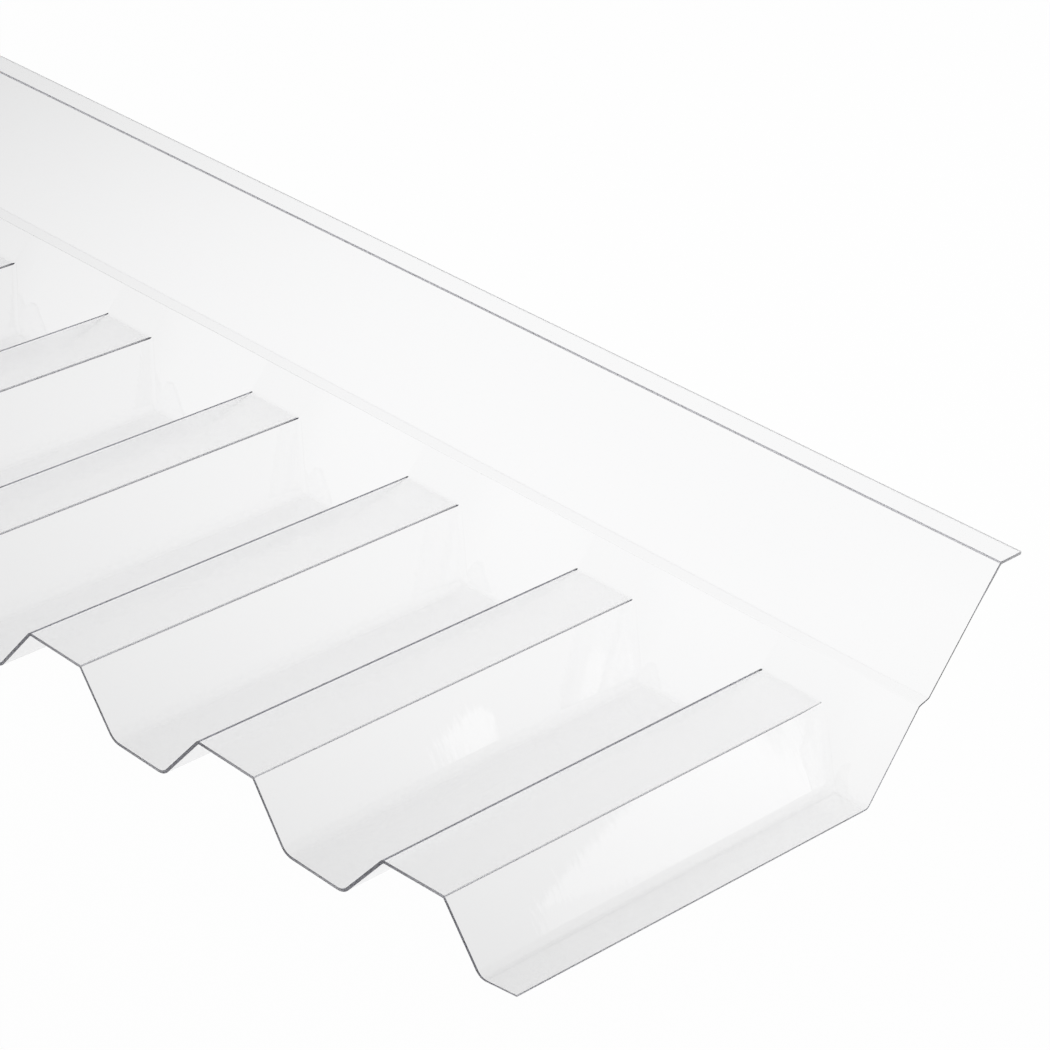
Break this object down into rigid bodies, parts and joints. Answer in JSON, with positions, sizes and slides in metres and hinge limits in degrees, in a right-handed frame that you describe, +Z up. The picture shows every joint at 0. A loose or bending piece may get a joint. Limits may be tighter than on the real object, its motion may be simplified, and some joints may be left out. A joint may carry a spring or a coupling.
{
  "type": "wall flashing",
  "caption": "Clear corrugated wall flashing: a ridged apron that nests over roof sheets, running into a sloping wall leg with a small step and a turned-back lip.",
  "frame": {"origin": "middle of the footprint, on the floor under the valleys of the apron", "axes": "+X along the wall, +Y from the apron's front edge to the wall, +Z up"},
  "size_m": [0.84, 0.1986, 0.0634],
  "materials": {
    "clear_sheet": "clear, smooth and glossy"
  },
  "bodies": {
    "root": {"flashing_sheet": "clear_sheet"}
  },
  "joints": []
}
